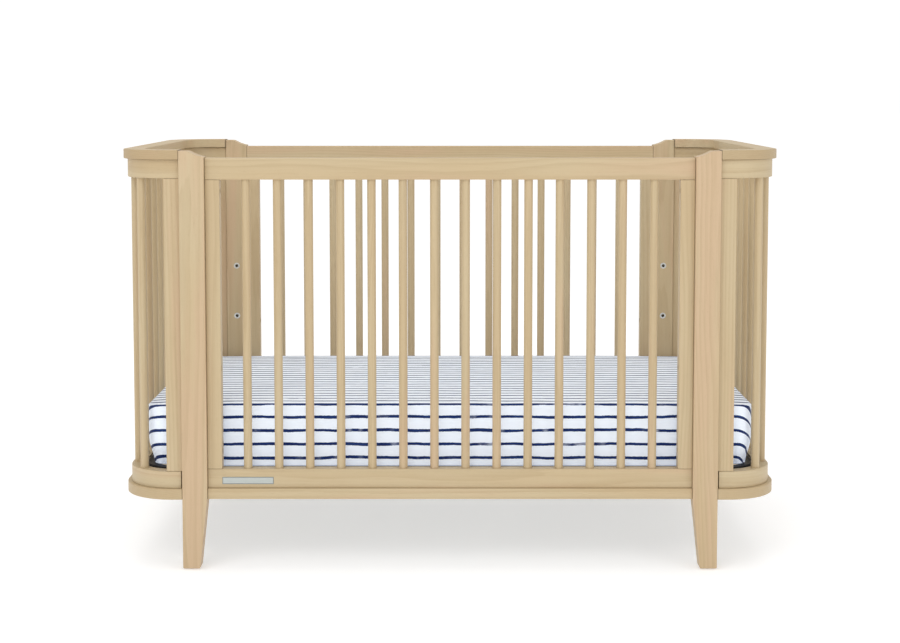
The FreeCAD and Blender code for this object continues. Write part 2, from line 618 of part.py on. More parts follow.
def fasteners():
    """Inserts, bolts, dowels and glides, one node for each kind."""
    insert, dowel = insert_master(), dowel_master()
    panel_bolt = bolt_master("PanelBolt", "Dims.bolt_head", "Dims.bolt_head_height",
                             "(Dims.stile_width - Dims.bolt_recess + Dims.bolt_reach)")
    corners = [(side, panel) for side in SIDES.values() for panel in PANELS.values()]
    inward_x = {1: AGAINST_X, -1: ALONG_X}
    inward_y = {1: AGAINST_Y, -1: ALONG_Y}
    turned_y = {1: ALONG_Y, -1: AGAINST_Y}
    copies("support_inserts", insert,
           [("%d * %s" % (side, INSERT_X), "%d * %s" % (panel, INNER_Y), height,
             turned_y[-panel]) for side, panel in corners for height in INSERT_HEIGHTS])
    copies("panel_inserts", insert,
           [("%d * %s" % (side, LEG_INNER), "%d * %s" % (panel, PANEL_MIDDLE), height,
             inward_x[side]) for side, panel in corners for height in PANEL_BOLTS])
    copies("panel_bolts", panel_bolt,
           [("%d * (%s + Dims.bolt_recess)" % (side, STILE_INNER),
             "%d * %s" % (panel, PANEL_MIDDLE), height, inward_x[side])
            for side, panel in corners for height in PANEL_BOLTS])
    rail_sites = [("%d * %s" % (side, LEG_INNER),
                   "%d * %s" % (panel, STRIP_MIDDLE if part == "base_strip" else PANEL_MIDDLE),
                   height, ALONG_X)
                  for side, panel in corners for part, heights in RAIL_DOWELS.items()
                  for height in heights]
    copies("rail_dowels", dowel, rail_sites)
    copies("end_dowels", dowel,
           [("%d * %s" % (side, LEG_OUTER), "%d * %s" % (panel, SLAT_LINE), height, ALONG_X)
            for side, panel in corners for heights in END_DOWELS.values() for height in heights])
    copies("foot_glides", glide_master(),
           [("%d * %s" % (side, FOOT_X), "%d * %s" % (panel, LEG_MIDDLE_Y), "0", Rotation())
            for side, panel in corners])
    support_bolt = bolt_master("SupportBolt", "Dims.button_head", "Dims.button_head_height",
                               "Dims.steel_thickness")
    copies("support_bolts", support_bolt,
           [("%d * %s" % (side, INSERT_X), "%d * (%s - Dims.steel_thickness)" % (panel, BRACKET_Y),
             "Dims.insert_low", inward_y[panel]) for side, panel in corners])


def badge_plate():
    """A blank plate with a raised rim on the face of the front bottom rail."""
    body = new_body("badge_plate")
    centre_z = "(%s - Dims.bottom_rail_height * 0.6)" % SILL_TOP
    half_x, half_z = "(Dims.badge_length / 2)", "(Dims.badge_height / 2)"

    def frame(inset):
        x, z = "(%s - %s)" % (half_x, inset), "(%s - %s)" % (half_z, inset)
        return [("-" + x, "-" + z), (x, "-" + z), (x, z), ("-" + x, z)]

    plate = new_sketch(body, "XZ_Plane")
    draw_outline(plate, frame("0"))
    pad(body, plate, "Dims.badge_thickness * 0.6")
    rim = new_sketch(body, "XZ_Plane")
    draw_outline(rim, frame("0"))
    draw_outline(rim, frame("Dims.badge_rim"))
    pad(body, rim, "Dims.badge_thickness")
    body.setExpression("Placement.Base.x", "-(%s - Dims.badge_side)" % STILE_INNER)
    body.setExpression("Placement.Base.y", "-(%s + Dims.panel_thickness)" % INNER_Y)
    body.setExpression("Placement.Base.z", centre_z)
    node("badge_plate", body)


# ---------------------------------------------------------------- mattress support

def closed_ring(x_half, y_half, radius):
    """A rounded rectangle centred on the origin."""
    x_turn, y_turn = "(%s - %s)" % (x_half, radius), "(%s - %s)" % (y_half, radius)
    return [
        ("-" + x_turn, "-" + y_half), (x_turn, "-" + y_half, radius, 1),
        (x_half, "-" + y_turn), (x_half, y_turn, radius, 1),
        (x_turn, y_half), ("-" + x_turn, y_half, radius, 1),
        ("-" + x_half, y_turn), ("-" + x_half, "-" + y_turn, radius, 1),
    ]


def inset_ring(depth):
    """A rounded rectangle at a depth inside the caps' outer faces, on their corner centres."""
    return closed_ring("(%s - %s)" % (CAP_X, depth), "(%s - %s)" % (HALF_DEPTH, depth),
                       "(Dims.corner_radius - %s)" % depth)


def support_frame():
    """Bent angle steel: an upright wall with a flange turned in at the slats' height."""
    body = new_body("support_frame")
    flange_under = "(Dims.support_height - Dims.support_slat_thickness - Dims.steel_thickness)"
    wall_depth = "(%s + Dims.steel_thickness)" % FRAME_INSET
    flange_depth = "(%s + Dims.support_flange)" % FRAME_INSET
    for offset, height, depth in (("0", "Dims.support_height", wall_depth),
                                  (flange_under, "Dims.steel_thickness", flange_depth)):
        sketch = new_sketch(body, "XY_Plane", offset)
        draw_outline(sketch, inset_ring(FRAME_INSET))
        draw_outline(sketch, inset_ring(depth))
        pad(body, sketch, height)
    body.setExpression("Placement.Base.z", SUPPORT_UNDER)
    node("support_frame", body)


def support_slats():
    """Flat steel cross slats that lie on the frame's flange."""
    length = "(Dims.crib_depth - 2 * (%s + Dims.steel_thickness + Dims.body_gap))" % FRAME_INSET
    count = int(value("Dims.support_slat_count"))
    slats = []
    for number in range(count):
        slat = doc.addObject("Part::Box", "SupportSlat")
        slat.setExpression("Length", "Dims.support_slat_width")
        slat.setExpression("Width", length)
        slat.setExpression("Height", "Dims.support_slat_thickness")
        share = 2 * number / (count - 1) - 1
        slat.setExpression("Placement.Base.x",
                           "%.9f * (%s - Dims.support_slat_margin) - Dims.support_slat_width / 2"
                           % (share, CORNER_X))
        slat.setExpression("Placement.Base.y", "-%s / 2" % length)
        slat.setExpression("Placement.Base.z", "%s - Dims.support_slat_thickness" % SUPPORT_TOP)
        slats.append(slat)
    compound("support_slats", slats)


def support_bracket(label, side, panel):
    """An upright strap welded to the frame, with a hole for its bolt."""
    body = new_body(label)
    centre = "%d * %s" % (side, INSERT_X)
    half = "Dims.bracket_width / 2"
    sketch = new_sketch(body, "XZ_Plane")
    draw_outline(sketch, [
        ("%s - %s" % (centre, half), SUPPORT_UNDER), ("%s + %s" % (centre, half), SUPPORT_UNDER),
        ("%s + %s" % (centre, half), "Dims.insert_low", half, 1),
        (centre, "Dims.insert_low + %s" % half, half, 1),
        ("%s - %s" % (centre, half), "Dims.insert_low")])
    draw_circles(sketch, [(centre, "Dims.insert_low")], "Dims.bolt_diameter + 2 * Dims.bolt_play")
    pad(body, sketch, "Dims.steel_thickness", reverse=panel < 0)
    body.setExpression("Placement.Base.y", "%d * %s" % (panel, BRACKET_Y))
    node(label, body)


# ---------------------------------------------------------------- mattress and sheet

MATTRESS_DEPTH = "(%s + Dims.mattress_end_gap)" % CAP_INSET
MATTRESS_X = "(%s - %s)" % (CAP_X, MATTRESS_DEPTH)
MATTRESS_Y = "(%s - Dims.mattress_side_gap)" % INNER_Y
MATTRESS_TURN = "(%s - %s)" % (MATTRESS_Y, CORNER_Y)


def soft_block(name, inset):
    """A rounded block: the sheeted mattress, taken in by an inset all round."""
    body = new_body(name)
    sketch = new_sketch(body, "XY_Plane", inset)
    draw_outline(sketch, closed_ring("(%s - %s)" % (MATTRESS_X, inset),
                                     "(%s - %s)" % (MATTRESS_Y, inset),
                                     "(%s - %s)" % (MATTRESS_TURN, inset)))
    pad(body, sketch, "Dims.mattress_thickness - 2 * %s" % inset)
    ease(body, "Dims.mattress_round - %s" % inset, lambda edge: edge.BoundBox.ZLength < 1)
    body.setExpression("Placement.Base.z", "Dims.mattress_bottom")
    return body


def bedding():
    """The mattress, and the sheet fitted round it and turned in underneath."""
    node("mattress", soft_block("mattress", "(Dims.cloth_thickness + Dims.cloth_gap)"))
    outer = soft_block("SheetOuter", "0")
    inner = soft_block("SheetInner", "Dims.cloth_thickness")
    shell = doc.addObject("Part::Cut", "SheetShell")
    shell.Base, shell.Tool = outer, inner
    opening = new_body("SheetOpening")
    sketch = new_sketch(opening, "XY_Plane", "-Dims.cloth_thickness")
    draw_outline(sketch, closed_ring("(%s - Dims.cloth_hem)" % MATTRESS_X,
                                     "(%s - Dims.cloth_hem)" % MATTRESS_Y, "Dims.mattress_round"))
    pad(opening, sketch, "3 * Dims.cloth_thickness")
    opening.setExpression("Placement.Base.z", "Dims.mattress_bottom")
    fitted = doc.addObject("Part::Cut", "fitted_sheet")
    fitted.Base, fitted.Tool = shell, opening
    node("fitted_sheet", fitted)


# ---------------------------------------------------------------- build

for place, panel in PANELS.items():
    for hand, side in SIDES.items():
        leg("leg_%s_%s" % (place, hand), side, panel)
        support_bracket("support_bracket_%s_%s" % (place, hand), side, panel)
    long_panel(place, panel)
for number, spindle in enumerate(spindle_row(PANELS["front"]), start=1):
    node("front_spindle_%02d" % number, spindle)
compound("rear_spindles", spindle_row(PANELS["rear"]))
for hand, side in SIDES.items():
    end_panel(hand, side)
    compound("end_%s_slats" % hand, slat_row(side))
fasteners()
badge_plate()
support_frame()
support_slats()
bedding()
doc.recompute()

for thing in doc.Objects:
    if "Invalid" in thing.State or "Error" in thing.State:
        raise RuntimeError("failed object: " + thing.Label)
for thing in nodes:
    if thing.Shape.isNull() or not thing.Shape.isValid():
        raise RuntimeError("bad shape: " + thing.Label)
for thing in nodes:
    thing.Shape.exportStep("parts/%s.step" % thing.Label)
print(len(nodes), "nodes")
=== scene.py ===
import json
import math
import random

import bmesh
import bpy
import numpy as np
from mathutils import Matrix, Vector, noise
from mathutils.kdtree import KDTree


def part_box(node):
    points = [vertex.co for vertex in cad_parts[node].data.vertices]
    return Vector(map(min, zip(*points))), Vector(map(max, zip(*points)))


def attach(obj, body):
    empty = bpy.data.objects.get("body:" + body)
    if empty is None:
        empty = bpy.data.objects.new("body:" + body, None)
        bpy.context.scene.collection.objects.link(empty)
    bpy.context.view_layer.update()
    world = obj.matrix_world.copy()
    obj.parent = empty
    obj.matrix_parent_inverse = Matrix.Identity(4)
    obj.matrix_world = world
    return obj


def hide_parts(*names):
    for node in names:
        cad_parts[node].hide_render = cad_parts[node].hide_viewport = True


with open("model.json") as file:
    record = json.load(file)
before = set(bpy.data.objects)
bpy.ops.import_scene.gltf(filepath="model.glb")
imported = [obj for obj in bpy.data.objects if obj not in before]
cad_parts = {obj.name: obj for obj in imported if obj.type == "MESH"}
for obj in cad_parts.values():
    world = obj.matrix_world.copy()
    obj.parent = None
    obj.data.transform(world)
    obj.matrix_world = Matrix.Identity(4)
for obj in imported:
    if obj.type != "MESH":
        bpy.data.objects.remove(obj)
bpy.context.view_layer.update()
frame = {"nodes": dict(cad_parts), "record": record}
NODES = frame["nodes"]

# A baby crib in pale lacquered wood, with a black steel mattress support and a mattress
# in a fitted cotton sheet with brush-painted navy stripes.
# Metres, origin on the floor under the middle, +X along the length, the front at -Y, +Z up.


# ---------------------------------------------------------------- materials: the tools


def shade(red, green, blue):
    """A colour given as 0 to 255 on a paint card, in the linear values that shaders use."""
    def linear(part):
        part /= 255
        return part / 12.92 if part <= 0.04045 else ((part + 0.055) / 1.055) ** 2.4

    return (linear(red), linear(green), linear(blue), 1.0)


class Term:
    """One output in a finish's node tree, with arithmetic on it."""

    def __init__(self, finish, socket):
        self.finish = finish
        self.socket = socket

    def math(self, operation, *values):
        return self.finish.node("Math", {"operation": operation}, dict(enumerate(values)))

    def __add__(self, other):
        return self.math("ADD", self, other)

    def __radd__(self, other):
        return self.math("ADD", other, self)

    def __sub__(self, other):
        return self.math("SUBTRACT", self, other)

    def __rsub__(self, other):
        return self.math("SUBTRACT", other, self)

    def __mul__(self, other):
        return self.math("MULTIPLY", self, other)

    def __rmul__(self, other):
        return self.math("MULTIPLY", other, self)

    def __truediv__(self, other):
        return self.math("DIVIDE", self, other)

    def __pow__(self, other):
        return self.math("POWER", self, other)

    def __abs__(self):
        return self.math("ABSOLUTE", self)

    def fract(self):
        return self.math("FRACT", self)

    def largest(self, other):
        return self.math("MAXIMUM", self, other)

    def smallest(self, other):
        return self.math("MINIMUM", self, other)

    def above(self, other):
        return self.math("GREATER_THAN", self, other)

    def step(self, low, high):
        """0 under low, 1 over high and smooth between them."""
        settings = {"interpolation_type": "SMOOTHSTEP"}
        return self.finish.node("MapRange", settings, {0: self, 1: low, 2: high, 3: 0.0, 4: 1.0})


class Finish:
    """A material whose nodes are all made by node()."""

    def __init__(self, name):
        self.material = bpy.data.materials.new(name)
        self.material.use_nodes = True
        self.tree = self.material.node_tree
        self.tree.nodes.clear()

    def node(self, kind, settings=None, sockets=None, output=0):
        made = self.tree.nodes.new("ShaderNode" + kind)
        for name, setting in (settings or {}).items():
            setattr(made, name, setting)
        for key, value in (sockets or {}).items():
            if isinstance(value, Term):
                self.tree.links.new(value.socket, made.inputs[key])
            else:
                made.inputs[key].default_value = value
        return Term(self, made.outputs[output]) if made.outputs else None

    def split(self, vector):
        """The x, y and z of a vector."""
        made = self.node("SeparateXYZ", None, {0: vector})
        outputs = made.socket.node.outputs
        return [Term(self, outputs[axis]) for axis in range(3)]

    def join(self, x, y, z=0.0):
        return self.node("CombineXYZ", None, {0: x, 1: y, 2: z})

    def place(self):
        """Where the surface is, in the crib's own axes."""
        return self.node("TexCoord", None, None, 3)

    def flat_cloth(self):
        """Where the surface is on the cloth before it was sewn."""
        return self.node("UVMap", {"uv_map": "flat_cloth"})

    def noise(self, x, y, z=0.0, detail=3.0, rough=0.5):
        """A cloudy value from 0 to 1. The coordinates come scaled as the pattern needs."""
        vector = self.join(x, y, z)
        sockets = {"Vector": vector, "Scale": 1.0, "Detail": detail, "Roughness": rough}
        return self.node("TexNoise", None, sockets)

    def mix(self, share, first, second):
        """first where share is 0 and second where it is 1."""
        return self.node("Mix", {"data_type": "RGBA"}, {0: share, 6: first, 7: second}, 2)

    def bump(self, height, distance, strength=1.0):
        sockets = {"Height": height, "Distance": distance, "Strength": strength}
        return self.node("Bump", None, sockets)

    def surface(self, **sockets):
        """The shader itself. Names are written with _ for a space."""
        named = {key.replace("_", " "): value for key, value in sockets.items()}
        shader = self.node("BsdfPrincipled", None, named)
        self.node("OutputMaterial", None, {0: shader})
        return self.material


def dress(name, material):
    """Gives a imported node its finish."""
    slots = NODES[name].data.materials
    slots.clear()
    slots.append(material)


# ---------------------------------------------------------------- wood

OLIVE = shade(197, 179, 144)
HONEY = shade(193, 170, 132)
ROSY = shade(199, 171, 138)
LATEWOOD = shade(164, 138, 99)
PORE = shade(150, 120, 84)
# JOINT_SHADE is painted shade for the gaps where pieces meet.
JOINT_SHADE = shade(92, 74, 50)
# Where the bends of a bowed end have their centres, and how far out its bands' middle runs.
CORNER_X = 0.5855
CORNER_Y = 0.2845
BAND_RADIUS = 0.085
# A cap is glued up from a middle board and a slanted one at each corner.
CAP_BOARD_END = 0.212
CAP_SLANT = math.radians(68)
CAP_CORNER_X = 0.6
CAP_CORNER_Y = 0.34
CAP_RIM = (0.1078, 0.1096)
# How far from a side the painted joint shade reaches.
JOINT_SHADE_WIDTH = (0.0002, 0.0017)


def grain(finish, along, across, deep, draws, rosy, ring_pitch=0.0046, pith=None):
    """Colour, roughness and relief of sawn, sanded and lacquered wood.

    along runs with the fibres, across and deep over them, in metres from the piece's middle.
    rosy is how pink the board is, from 0 to 1."""
    if pith is None:
        pith = (draws.uniform(-0.06, 0.06), draws.choice((-1, 1)) * draws.uniform(0.06, 0.14))
    shift = draws.uniform(0, 50)
    lean = draws.uniform(-0.02, 0.02)
    wander = finish.noise(along * 1.6 + shift, across * 6, deep * 6, 2.0)
    sway = (wander - 0.5) * 0.03
    side = across - pith[0] + sway + along * lean
    back = deep - pith[1] + sway * 0.6
    radius = (side * side + back * back) ** 0.5
    ragged = finish.noise(along * 9 + shift, across * 160, deep * 160, 3.0)
    phase = (radius / ring_pitch + ragged * 0.4).fract()
    latewood = phase.step(0.3, 0.93) * (1.0 - phase.step(0.93, 1.0))
    fibre = finish.noise(along * 14 + shift, across * 620, deep * 620, 4.0, 0.65)
    streak = finish.noise(along * 3.2 + shift, across * 120, deep * 120, 3.0, 0.55)
    cloud = finish.noise(along * 1.3 - shift, across * 14, deep * 14, 2.0)
    blush = finish.noise(along * 2.1, across * 26 + shift, deep * 26, 2.0)
    flecks = finish.noise(along * 95 + shift, across * 2300, deep * 2300, 2.0)
    pores = flecks.step(0.62, 0.72) * fibre.step(0.4, 0.6)
    base = finish.mix(cloud.step(0.3, 0.72), OLIVE, HONEY)
    base = finish.mix(blush.step(0.62 - 0.4 * rosy, 0.9 - 0.4 * rosy) * 0.85, base, ROSY)
    base = finish.mix(latewood * (0.08 + streak * 0.26), base, LATEWOOD)
    base = finish.mix(streak.step(0.5, 0.8) * 0.2, base, LATEWOOD)
    base = finish.mix(fibre.step(0.45, 0.8) * 0.16, base, LATEWOOD)
    base = finish.mix(pores * 0.32, base, PORE)
    relief = finish.bump(fibre * 0.5 - pores * 0.9 - latewood * 0.25, 0.00012)
    sheen = 0.44 + fibre * 0.12 + pores * 0.12
    return base, sheen, relief


def lacquered(finish, base, sheen, relief):
    return finish.surface(
        Base_Color=base, Roughness=sheen, Normal=relief, Coat_Weight=0.06, Coat_Roughness=0.35
    )


def with_joint_shade(finish, base, name, sides):
    """Paints shade on the thin lines where a piece meets its neighbours, on the named sides of its
    box: painted shade of the gaps between parts.
    """
    low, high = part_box(name)
    place = dict(zip("xyz", finish.split(finish.place())))
    for (axis, end), depth in sides.items():
        if end == "-":
            distance = place[axis] - getattr(low, axis)
        else:
            distance = getattr(high, axis) - place[axis]
        base = finish.mix((1.0 - distance.step(*JOINT_SHADE_WIDTH)) * depth, base, JOINT_SHADE)
    return base


def straight_board(name, seed, lengthwise, rosy, sides):
    """Wood of a straight board, post or rod, its fibres upright or along the crib."""
    low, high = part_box(name)
    middle = (low + high) / 2
    finish = Finish("wood_" + name)
    x, y, z = finish.split(finish.place())
    if lengthwise:
        along, across, deep = x, z - middle.z, y - middle.y
    else:
        along, across, deep = z, x - middle.x, y - middle.y
    base, sheen, relief = grain(finish, along, across, deep, random.Random(seed), rosy)
    return lacquered(finish, with_joint_shade(finish, base, name, sides), sheen, relief)


def path_distance(x, y):
    """How far out from the line through the corner centres a point of a bowed end lies."""
    past_x = (abs(x) - CORNER_X).largest(0.0)
    past_y = (abs(y) - CORNER_Y).largest(0.0)
    return (past_x * past_x + past_y * past_y) ** 0.5


def bent_band(name, seed, rosy, sides):
    """Wood of a band bent round the end: the fibres follow the bend."""
    low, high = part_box(name)
    finish = Finish("wood_" + name)
    x, y, z = finish.split(finish.place())
    outward = path_distance(x, y) - BAND_RADIUS
    along = y * 0.9 + abs(x) * 0.5
    across = z - (low.z + high.z) / 2
    draws = random.Random(seed)
    base, sheen, relief = grain(finish, along, across, outward, draws, rosy, 0.0042)
    return lacquered(finish, with_joint_shade(finish, base, name, sides), sheen, relief)


def sawn_cap(name, seed, rosy, sides):
    """Wood of a cap sawn from boards: one along the end and one slanted at each corner."""
    low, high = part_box(name)
    finish = Finish("wood_" + name)
    draws = random.Random(seed)
    x, y, z = finish.split(finish.place())
    side = 1.0 if low.x > 0 else -1.0
    corner = abs(y).above(CAP_BOARD_END)
    out = x * side - CAP_CORNER_X
    back = abs(y) - CAP_CORNER_Y
    turned_along = back * math.cos(CAP_SLANT) - out * math.sin(CAP_SLANT)
    turned_across = back * math.sin(CAP_SLANT) + out * math.cos(CAP_SLANT)
    hand = y.above(0.0) * 3.0
    along = corner * (turned_along + hand) + (1.0 - corner) * y
    across = corner * turned_across + (1.0 - corner) * out
    deep = z - (low.z + high.z) / 2
    pith = (draws.uniform(-0.05, 0.05), -0.16)
    base, sheen, relief = grain(finish, along, across, deep, draws, rosy, 0.0038, pith)
    rim = path_distance(x, y).step(*CAP_RIM)
    end_grain = 0.42 if low.z > 0.5 else 0.15
    base = finish.mix(rim * (end_grain + corner * 0.08), base, LATEWOOD)
    return lacquered(finish, with_joint_shade(finish, base, name, sides), sheen, relief)


METAL_OR_PLASTIC = {
    "badge_plate", "support_inserts", "panel_inserts", "panel_bolts", "foot_glides"
}
# For each kind of wooden piece: how rosy its boards are, and the sides of its box that meet
# other wood, with the depth of the painted shade line there; on the top band's upper side it
# is the painted shadow under the cap. Side o faces away from the crib's middle and side i towards
# it.
BOARDS = {
    "top_rail": (0.5, {"x-": 0.8, "x+": 0.8}),
    "bottom_rail": (0.1, {"x-": 0.8, "x+": 0.8, "z-": 0.2}),
    "base_strip": (0.05, {"x-": 0.8, "x+": 0.8}),
    "stile": (0.3, {"xo": 0.8, "z-": 0.6, "z+": 0.6}),
    "end_stile": (0.55, {"xi": 0.8, "z-": 0.6, "z+": 0.6}),
    "top_cap": (0.3, {"xi": 0.8}),
    "bottom_cap": (0.2, {"xi": 0.8}),
    # The top band's upper line is the painted shadow under the cap's overhang.
    "top_band": (0.2, {"xi": 0.8, "z+": 0.9}),
    "bottom_band": (0.15, {"xi": 0.8, "z-": 0.2}),
    "leg_front": (0.75, {}),
    "leg_rear": (0.3, {}),
    "slats": (0.0, {}),
    "spindle": (0.25, {}),
    "dowels": (0.4, {}),
}


def board_kind(name):
    if name.startswith("end_") and "stile" in name:
        return "end_stile"
    return next(kind for kind in BOARDS if kind in name)


def dress_the_wood():
    crib_nodes = frame["record"]["behaviour"]["bodies"]["crib"]
    for seed, name in enumerate(sorted(set(crib_nodes) - METAL_OR_PLASTIC), start=11):
        kind = board_kind(name)
        rosy, sides = BOARDS[kind]
        right = (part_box(name)[0].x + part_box(name)[1].x) > 0
        outer, inner = ("x+", "x-") if right else ("x-", "x+")
        sides = {{"xo": outer, "xi": inner}.get(side, side): sides[side] for side in sides}
        if kind.endswith("_band"):
            dress(name, bent_band(name, seed, rosy, sides))
        elif kind.endswith("_cap"):
            dress(name, sawn_cap(name, seed, rosy, sides))
        else:
            lengthwise = kind in ("top_rail", "bottom_rail", "base_strip", "dowels")
            dress(name, straight_board(name, seed, lengthwise, rosy, sides))


dress_the_wood()


# ---------------------------------------------------------------- metal and plastic


def powder_coat(name, colour, rough):
    """Baked powder paint: faint orange peel and a little dust."""
    finish = Finish(name)
    x, y, z = finish.split(finish.place())
    peel = finish.noise(x * 700, y * 700, z * 700, 2.0)
    dust = finish.noise(x * 9, y * 9, z * 9, 4.0)
    rubbed = tuple(min(1.0, part * 2.2 + 0.01) for part in colour[:3]) + (1.0,)
    return finish.surface(
        Base_Color=finish.mix(dust.step(0.45, 0.8) * 0.4, colour, rubbed),
        Roughness=rough + dust * 0.12,
        Normal=finish.bump(peel, 0.00008, 0.6),
    )


def turned_steel(name, colour, rough):
    """Plated steel with faint marks from turning and handling."""
    finish = Finish(name)
    x, y, z = finish.split(finish.place())
    marks = finish.noise(x * 2600, y * 2600, z * 2600, 3.0)
    stain = finish.noise(x * 160, y * 160, z * 160, 3.0)
    dull = tuple(part * 0.72 for part in colour[:3]) + (1.0,)
    return finish.surface(
        Base_Color=finish.mix(stain.step(0.4, 0.75) * 0.6, colour, dull),
        Metallic=1.0,
        Roughness=rough + stain * 0.14,
        Normal=finish.bump(marks, 0.00003, 0.5),
    )


def threaded_insert():
    """Zinc-plated insert whose threaded bore is painted near black: painted shade in the hole,
    with the thread's dark oxide.
    """
    finish = Finish("zinc_insert")
    x, y, z = finish.split(finish.place())
    stain = finish.noise(x * 160, y * 160, z * 160, 3.0)
    step_up = ((z - INSERT_LOW) / INSERT_PITCH + 0.5).fract() - 0.5
    rise = step_up * INSERT_PITCH
    aside = abs(x) - INSERT_X
    bore_painted_shade = 1.0 - ((rise * rise + aside * aside) ** 0.5).step(*INSERT_BORE)
    thread = (abs(y) / THREAD_PITCH).fract()
    ridge = abs(thread - 0.5) * 2.0
    bare = finish.mix(stain.step(0.4, 0.75) * 0.5, shade(222, 224, 221), shade(188, 191, 188))
    return finish.surface(
        # The bore is painted near black: painted shade in the hole, with the thread's dark oxide.
        Base_Color=finish.mix(bore_painted_shade, bare, shade(14, 14, 14)),
        Metallic=0.55 - bore_painted_shade * 0.3,
        Roughness=0.3 + stain * 0.14 + bore_painted_shade * 0.2,
        Normal=finish.bump(ridge * bore_painted_shade * 0.0003 + stain * 0.00002, 1.0, 0.8),
    )


def blank_plate():
    """Brushed plate: fine lines along it, and a darker line inside the raised rim."""
    low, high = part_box("badge_plate")
    finish = Finish("brushed_plate")
    x, y, z = finish.split(finish.place())
    brush = finish.noise(x * 90, y * 90, z * 5200, 3.0, 0.6)
    cloud = finish.noise(x * 40, y * 40, z * 60, 2.0)
    to_end = (low.x + high.x) / 2
    to_side = (low.z + high.z) / 2
    from_end = (high.x - low.x) / 2 - abs(x - to_end)
    from_side = (high.z - low.z) / 2 - abs(z - to_side)
    edge = from_end.smallest(from_side)
    line = 1.0 - edge.step(0.0010, 0.0018)
    base = finish.mix(brush.step(0.3, 0.7) * 0.5, shade(190, 195, 191), shade(168, 174, 170))
    base = finish.mix(cloud.step(0.4, 0.8) * 0.3, base, shade(200, 205, 201))
    base = finish.mix(line * 0.8, base, shade(120, 126, 124))
    return finish.surface(
        Base_Color=base,
        Metallic=0.55,
        Roughness=0.34 + brush * 0.16,
        Normal=finish.bump(brush, 0.00002, 0.5),
    )


def glide_plastic():
    finish = Finish("glide_nylon")
    x, y, z = finish.split(finish.place())
    scuff = finish.noise(x * 300, y * 300, z * 60, 3.0)
    return finish.surface(
        Base_Color=finish.mix(
            scuff.step(0.45, 0.75) * 0.5, shade(214, 208, 194), shade(180, 172, 156)
        ),
        Roughness=0.5 + scuff * 0.15,
        Normal=finish.bump(scuff, 0.0001, 0.4),
    )


# The threaded inserts in the legs: where their column stands, its lowest one and its pitch,
# and the bore and thread of one insert.
INSERT_X = 0.5385
INSERT_LOW = 0.313
INSERT_PITCH = 0.127
INSERT_BORE = (0.0034, 0.0039)
THREAD_PITCH = 0.00125
BLACK_STEEL = powder_coat("black_powder_coat", shade(34, 34, 36), 0.42)
BOLT_STEEL = powder_coat("black_oxide", shade(44, 44, 46), 0.34)
ZINC = turned_steel("zinc_plate", shade(198, 200, 198), 0.3)
for node_name in frame["record"]["behaviour"]["bodies"]["mattress_support"]:
    dress(node_name, BOLT_STEEL if node_name == "support_bolts" else BLACK_STEEL)
dress("panel_bolts", BOLT_STEEL)
dress("support_inserts", threaded_insert())
dress("panel_inserts", ZINC)
dress("badge_plate", blank_plate())
dress("foot_glides", glide_plastic())

# ---------------------------------------------------------------- mattress and fitted sheet

BED_LOW, BED_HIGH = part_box("fitted_sheet")
# The sheet's outline: room for the foam to fill it out, and the corners' radius in plan.
SWELL = 0.002
BED_X = BED_HIGH.x - SWELL
BED_Y = BED_HIGH.y - SWELL
PLAN_CORNER = 0.039
FOOT_X = BED_X - PLAN_CORNER
FOOT_Y = BED_Y - PLAN_CORNER
# Its section: the rounding of the upper and lower edges and the fall of the top.
TOP_ROUND = 0.0075
CROWN = 0.0035
EDGE_ROUND = 0.0022
# How far the lower edge stands out, and how far it may pass the plain mattress's sides.
WELT = 0.0044
WELT_AT_ENDS = 0.0012
SIDE_ROOM = 0.005
# The corners narrow towards the bottom, where the cloth tucks under.
CORNER_TAPER = 0.012
CORNER_TUCK = 0.0045
# The hem under the mattress, from the corner's centre line, and its ruffles.
HEM_LIFT = 0.0006
HEM_EDGE = -0.0085
HEM_EDGE_AT_CORNER = 0.012
RUFFLE = 0.024
RUFFLE_DEPTH = 0.0022
SHEET_THICKNESS = 0.0006
# The mattress's own cover lies a little inside the sheet.
COVER_GAP = 0.0025
COVER_BOTTOM = 0.0028
# How far round each corner the end flap is sewn to the long one.
CORNER_SEAM = math.radians(80)
# Rings of the sheet: shares of the way in on top, then steps down and under.
TOP_SHARES = (1.0, 0.93, 0.85, 0.76, 0.67, 0.58, 0.49, 0.4, 0.32, 0.24, 0.17, 0.1, 0.05, 0.0)
TOP_EDGE_RING = len(TOP_SHARES) - 1
ROUND_STEPS = 7
SIDE_STEPS = 12
TUCK_STEPS = 6
HEM_STEPS = 8
STRIPE_PITCH = 0.0293
STRIPE_START = -0.3680
# The rows of stitches: their height over the cloth, how far beside the seam they run, and
# which ring of the hem they follow, counted from its edge.
STITCH_OUT = 0.00025
STITCH_ASIDE = 0.003
STITCH_HEM_RING = -3
STITCH_SIZES = {"Pitch": 0.0042, "Stitch Length": 0.0030, "Thread": 0.0003}


def eased(value, low, high):
    """0 under low, 1 over high and smooth between them."""
    share = np.clip((np.asarray(value, float) - low) / (high - low), 0.0, 1.0)
    return share * share * (3 - 2 * share)


